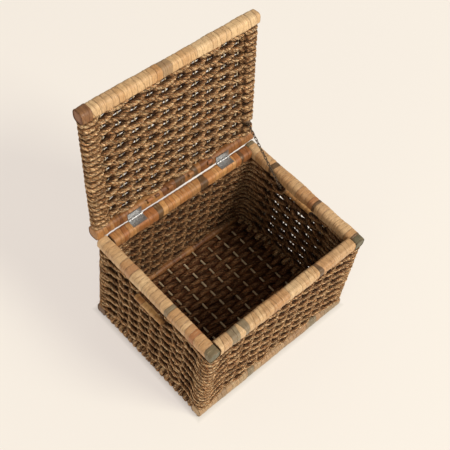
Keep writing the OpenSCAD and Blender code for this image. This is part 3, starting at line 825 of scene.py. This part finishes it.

# ---------------------------------------------------------------- floor: dark runs, and lighter loops on the poles
# the last weight of each is how much painted shade a rope takes at its edges
RUN = dict(radius=6.1, pitch=60.0, fuzz=0.1, edge_shade=EDGE_SHADE)
LOOP = dict(radius=5.4, pitch=34.0, fuzz=0.3, edge_shade=0.8)
bag, loop_bag = Bag(), Bag()
pitch = 2 * FLOOR_IN / FLOOR_ROWS
for i in range(FLOOR_ROWS):
    y = -FLOOR_IN + (i + 0.5) * pitch
    path, fl = panel_row(i, FLOOR_STAKES, 1, y, FLOOR_Z, BASE_Z, right_y=y, wave=0.66)
    first, last = np.flatnonzero(path[:, 0] < -LOOP_FROM)[-1] + 1, np.flatnonzero(path[:, 0] > LOOP_FROM)[0]
    for part, a, b, squeeze, style in ((bag, first, last, 0.84, RUN), (loop_bag, 0, first + 2, 0.92, LOOP),
                                       (loop_bag, last - 2, len(path), 0.92, LOOP)):
        rope(part, path[a:b], ALONG_Y, flats=fl[a:b] * squeeze, tone=0.45 + rng.normal(0, 0.06),
             side=panel_side(FLOOR_Z), **style)
bag.build("rope_floor", "box", "floor_rope", floor_rope, ["floor_ropes"])
loop_bag.build("rope_floor_loops", "box", "wall_rope", wall_rope)


# ---------------------------------------------------------------- lid weave
def right_loop_y(i):
    """Where lid rope i goes round the right bar, or None for the one that stops short at the chain's eye."""
    if i < FRONT_LOOPS:
        return LID_IN0 + (i + 0.5) * (EYE_GAP0 - LID_IN0) / FRONT_LOOPS
    if i == FRONT_LOOPS:
        return None
    return LID_IN1 - (LID_ROWS - 1 - i + 0.5) * (LID_IN1 - EYE_GAP1) / (LID_ROWS - 1 - FRONT_LOOPS)


def shade_beside_bar(p):
    """Painted shade in the gap between the side loops and the weave, deeper on the right."""
    return np.where(p[:, 0] > 0, 0.9, 0.55) * np.exp(-((np.abs(p[:, 0]) - 129) / 3.0) ** 2)


# every other lid rope takes painted shade in the gap beside the bars
bag = Bag()
pitch = (LID_IN1 - LID_IN0) / LID_ROWS
for i in range(LID_ROWS):
    path, fl = panel_row(i, LID_STAKES, 0, LID_IN0 + (i + 0.5) * pitch, LID_Z, LID_Z, right_y=right_loop_y(i), a=6.1)
    rope(bag, path, ALONG_Y, flats=fl, tone=0.53 + rng.normal(0, 0.05), radius=5.15, hair_reach=110.0,
         side=panel_side(LID_Z), extra_shade=shade_beside_bar if i % 2 else None)
bag.build("rope_lid", "lid", "lid_rope", lid_rope, ["lid_ropes"], to_world=lid_world)


# ---------------------------------------------------------------- sticks
def stick(bag, a, b, r=1.5, tones=(0.2, 0.8)):
    """A slightly uneven round stick from a to b."""
    a, b = np.asarray(a, float), np.asarray(b, float)
    n, m, spacing = 26, 9, 7
    f = np.linspace(0, 1, n)[:, None]
    d = (b - a) / np.linalg.norm(b - a)
    u = np.cross(d, (0.3, 0.5, 0.81))
    u /= np.linalg.norm(u)
    w = np.cross(d, u)
    c = a + (b - a) * f + u * smooth_noise(n, spacing, 50, 0.12)[:, None] \
        + w * smooth_noise(n, spacing, 50, 0.12)[:, None]
    rr = r * (0.97 + smooth_noise(n, spacing, 20, 0.03))
    th = np.linspace(0, 2 * math.pi, m, endpoint=False)
    v = c[:, None] + rr[:, None, None] * (np.cos(th)[None, :, None] * u + np.sin(th)[None, :, None] * w)
    s = f * np.linalg.norm(b - a)
    fib = np.stack([np.broadcast_to(x, (n, m)) for x in (s + rng.uniform(0, 900), np.cos(th), np.sin(th))], 2)
    tn = rng.uniform(*tones)
    bag.add(v.reshape(-1, 3), [grid(n, m)], fib=fib.reshape(-1, 3), tone=np.full(n * m, tn))
    for e, ring_order in end_rings(n, m):
        bag.add(np.vstack([v[e], c[e][None]]), [cap(ring_order)], fib=np.vstack([fib[e], fib[e][:1]]),
                tone=np.full(m + 1, tn))


FOOT, TOP, SLOT_TOP = WALL_Z0 + 0.4, WALL_Z0 + ROWS * ROW - 0.2, 140.6
WALL_TONES = (-0.3, 0.3)
FLOOR_RAISE = 2.8                        # over CAD, so that the sticks show between the ropes
for s, nm in ((-1, "front"), (1, "back")):
    bag = Bag()
    for x in FRONT:
        stick(bag, (x, s * WALL_Y, FOOT), (x, s * WALL_Y, TOP), tones=WALL_TONES)
    bag.build("reeds_" + nm, "box", "stakes", reed, ["stakes_" + nm])
for s, nm in ((-1, "left"), (1, "right")):
    bag = Bag()
    for y in SIDE:
        top = SLOT_TOP if SLOT0 < y < SLOT1 else TOP
        stick(bag, (s * WALL_X, y, FOOT), (s * WALL_X, y, top), tones=WALL_TONES)
    bag.build("reeds_" + nm, "box", "stakes", reed, ["stakes_" + nm])
bag = Bag()
for x in FLOOR_STAKES:
    z = FLOOR_Z + FLOOR_RAISE
    stick(bag, (x, -FLOOR_IN + 0.4, z), (x, FLOOR_IN - 0.4, z), 1.6)
bag.build("reeds_floor", "box", "stakes", reed, ["floor_stakes"])
bag = Bag()
for x in LID_STAKES:
    stick(bag, (x, LID_IN0 + 0.4, LID_Z), (x, LID_IN1 - 0.4, LID_Z))
bag.build("reeds_lid", "lid", "stakes", reed, ["lid_stakes"], to_world=lid_world)

# ---------------------------------------------------------------- bark on the rails
ACROSS, WIDTH, DEPTH = 2 * (HALF_W - RAIL) - 0.4, 2 * HALF_W, 2 * HALF_D
END_GAP = 0.6                            # a wrap's length less its bark's
SLIM_HALF, SLIM_Y = 8.85, 9.3            # the lid's front bark, whose strips bulge more
wraps = [
    ("rim_front", (0, -WALL_Y, RIM_Z), "x", ACROSS, "gold", "box", [(-100, GREY), (-82, GREY), (62, DARK)]),
    ("rim_back", (0, WALL_Y, RIM_Z), "x", ACROSS, "chestnut", "box", [(36, DARK), (-46, DARK), (112, DARK)]),
    ("rim_left", (-WALL_X, 0, RIM_Z), "y", DEPTH, "gold", "box",
     [(52, RUST), (-78, RUST), (-114, GREEN), (-26, GREY)]),
    ("rim_right", (WALL_X, 0, RIM_Z), "y", DEPTH, "gold", "box",
     [(-20, RUST), (-28, DARK), (-108, DARK), (-114, GREEN), (114, GREEN), (60, DARK)]),
    ("base_front", (0, -WALL_Y, BASE_Z), "x", WIDTH, "dull", "box", [(-40, GREY), (90, GREY)]),
    ("base_back", (0, WALL_Y, BASE_Z), "x", WIDTH, "brown", "box", [(-146, UMBER), (146, UMBER)]),
    ("lid_front", (0, LID_FRONT + SLIM_Y, LID_Z), "x", WIDTH, "cream", "lid", [(-20, TAN), (-12, TAN), (-146, COCOA)]),
    ("lid_back", (0, LID_BACK - RAIL_HALF, LID_Z), "x", WIDTH, "brown", "lid", [(0, DARK), (28, DARK), (60, DARK)]),
]
for nm, centre, axis, length, palette, body, marks in wraps:
    bag = Bag()
    bark(bag, centre, axis, length - END_GAP, palette, marks, half=SLIM_HALF if nm == "lid_front" else RAIL_HALF)
    bag.build("bark_" + nm, body, "bark_wrap", bark_wrap, [nm + "_wrap"], to_world=lid_world if body == "lid" else None)
bag = Bag()                              # the thicker wound end at the lid's front left
KNOB_X, KNOB_Y, KNOB_LENGTH, KNOB_HALF = -141.9, LID_FRONT + 9.7, 15.5, 9.9
bark(bag, (KNOB_X, KNOB_Y, LID_Z), "x", KNOB_LENGTH, "knob", half=KNOB_HALF, r=7.4, width=4.4)
bag.build("bark_lid_front_end", "lid", "bark_wrap", bark_wrap, to_world=lid_world)


def curl(bag, x, y, z, width, radius, lean, colour):
    """A fold of strip that stands off the rail."""
    a = np.linspace(-0.35, math.pi + 0.35, 15)
    thickness = 0.7

    def line(across, depth):
        rr = radius - depth + 0.25 * (1 - abs(across))
        return np.column_stack([x + across * width / 2 + lean * np.sin(a) * radius, y + rr * np.cos(a),
                                z - rr * np.sin(a) * 0.9])

    breadth = (-1, -0.6, 0.6, 1)
    v = np.stack([line(q, 0.0) for q in breadth] + [line(q, thickness) for q in breadth[::-1]], 1)
    n, m = v.shape[:2]
    seed = rng.uniform(0, 400)
    fib = np.stack([np.broadcast_to(a[:, None] * 0.6 + seed, (n, m)), np.full((n, m), seed), v[:, :, 0]], 2)
    bag.add(v.reshape(-1, 3), [grid(n, m)], fib=fib.reshape(-1, 3),
            edge=np.tile([1, 0.2, 0.2, 1, 1, 0.8, 0.8, 1], n).astype(float), tone=np.tile([*colour, 1.0], (n * m, 1)))


CURL_Y, CURL_Z = LID_BACK - 14.0, LID_Z - 8.1
bag = Bag()
for x, width, radius, colour in ((-56, 10, 3.6, (0.42, 0.17, 0.055)), (-42, 7, 2.8, (0.20, 0.08, 0.03)),
                                 (-18, 9, 3.4, (0.34, 0.14, 0.045)), (22, 10, 3.6, (0.40, 0.18, 0.06)),
                                 (60, 9, 3.4, (0.36, 0.13, 0.045))):
    y = CURL_Y + rng.uniform(-1, 1)
    curl(bag, x, y, CURL_Z, width, radius, rng.uniform(-0.5, 0.5), colour)
bag.build("bark_lid_back_curls", "lid", "bark_wrap", bark_wrap, to_world=lid_world)
for s, nm in ((-1, "left"), (1, "right")):
    bag = Bag()
    bark(bag, (s * BAR_X, BAR_Y, BAR_Z), "y", BAR_LENGTH, "amber", half=BAR_HALF, round_bar=True, width=7)
    bag.build("bark_handle_" + nm, "box", "bark_wrap", bark_wrap, [f"handle_{nm}_wrap", f"handle_{nm}_bar"])

# ---------------------------------------------------------------- CAD pieces that stay
for nm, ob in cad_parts.items():
    if nm in ("base_left_pole", "base_right_pole"):
        mat = base_timber
    elif nm.endswith(("_pole", "_bar")) or nm.startswith("corner_post"):
        mat = timber
    elif "hinge" in nm or "screws" in nm:
        mat = steel
    elif nm.startswith("chain"):
        mat = bronze
    else:
        continue
    if not ob.material_slots:
        ob.data.materials.append(mat)
    for slot in ob.material_slots:
        slot.material = mat

# ---------------------------------------------------------------- floor, light, camera
# The studio floor glows a little, painted light so that it stays pale without a hard shadow;
# it does not glow under the trunk, which paints a soft contact shadow there.
FOOT_X, FOOT_Y, GLOW, EXTENT = 0.143, 0.110, 0.66, 6
mat, nt, bsdf = new_material("studio_floor")
bsdf.inputs["Base Color"].default_value = (0.277, 0.277, 0.221, 1)
bsdf.inputs["Emission Color"].default_value = (1.0, 0.90, 0.845, 1)
sep = nt.nodes.new("ShaderNodeSeparateXYZ")
nt.links.new(object_coords(nt), sep.inputs[0])
# how far a spot lies past the trunk's footprint, where the painted contact shadow ends
past_contact_shadow = mathn(nt, "MAXIMUM", mathn(nt, "SUBTRACT", mathn(nt, "ABSOLUTE", sep.outputs[0]), FOOT_X),
             mathn(nt, "SUBTRACT", mathn(nt, "ABSOLUTE", sep.outputs[1]), FOOT_Y))
nt.links.new(maprange(nt, past_contact_shadow, -0.012, 0.014, 0.0, GLOW), bsdf.inputs["Emission Strength"])
bsdf.inputs["Roughness"].default_value = 0.9
bsdf.inputs["Specular IOR Level"].default_value = 0.1
me = bpy.data.meshes.new("studio_floor")
me.from_pydata([(sx * EXTENT, sy * EXTENT, 0) for sx, sy in ((-1, -1), (1, -1), (1, 1), (-1, 1))], [], [(0, 1, 2, 3)])
me.materials.append(mat)
ob = bpy.data.objects.new("studio_floor", me)
bpy.context.scene.collection.objects.link(ob)

world = bpy.context.scene.world or bpy.data.worlds.new("World")
bpy.context.scene.world = world
world.use_nodes = True
background = world.node_tree.nodes["Background"]
background.inputs["Color"].default_value = (1.0, 0.965, 0.92, 1)
background.inputs["Strength"].default_value = 0.38


def area(name, place, size, power, color, target=(0, 0, 0.1)):
    li = bpy.data.lights.new(name, "AREA")
    li.size = size
    li.energy = power
    li.color = color
    lo = bpy.data.objects.new(name, li)
    lo.location = place
    lo.rotation_euler = (Vector(target) - Vector(place)).to_track_quat("-Z", "Y").to_euler()
    bpy.context.scene.collection.objects.link(lo)


area("key", (1.7, -3.5, 3.9), 2.0, 272, (1.0, 0.955, 0.9))
area("fill", (-3.4, -1.1, 0.75), 1.2, 30, (1.0, 0.9, 0.8))

AZIMUTH, ELEVATION, ROLL = math.radians(-51.29), math.radians(54.13), math.radians(10.43)
DISTANCE, SHIFT_RIGHT, SHIFT_UP = 1.466, 0.0075, 0.1277
back = Vector((math.sin(AZIMUTH) * math.cos(ELEVATION), -math.cos(AZIMUTH) * math.cos(ELEVATION), math.sin(ELEVATION)))
level = Vector((0, 0, 1)).cross(back).normalized()
upright = back.cross(level)
right = math.cos(ROLL) * level + math.sin(ROLL) * upright
top = -math.sin(ROLL) * level + math.cos(ROLL) * upright
cam = bpy.data.objects.new("camera", bpy.data.cameras.new("camera"))
cam.data.lens = 75.0
cam.data.sensor_width = 36.0
cam.data.clip_start = 0.01
cam.matrix_world = Matrix.Translation(back * DISTANCE + right * SHIFT_RIGHT + top * SHIFT_UP) \
    @ Matrix((right, top, back)).transposed().to_4x4()
bpy.context.scene.collection.objects.link(cam)
bpy.context.scene.camera = cam
bpy.context.scene.view_settings.view_transform = "Standard"
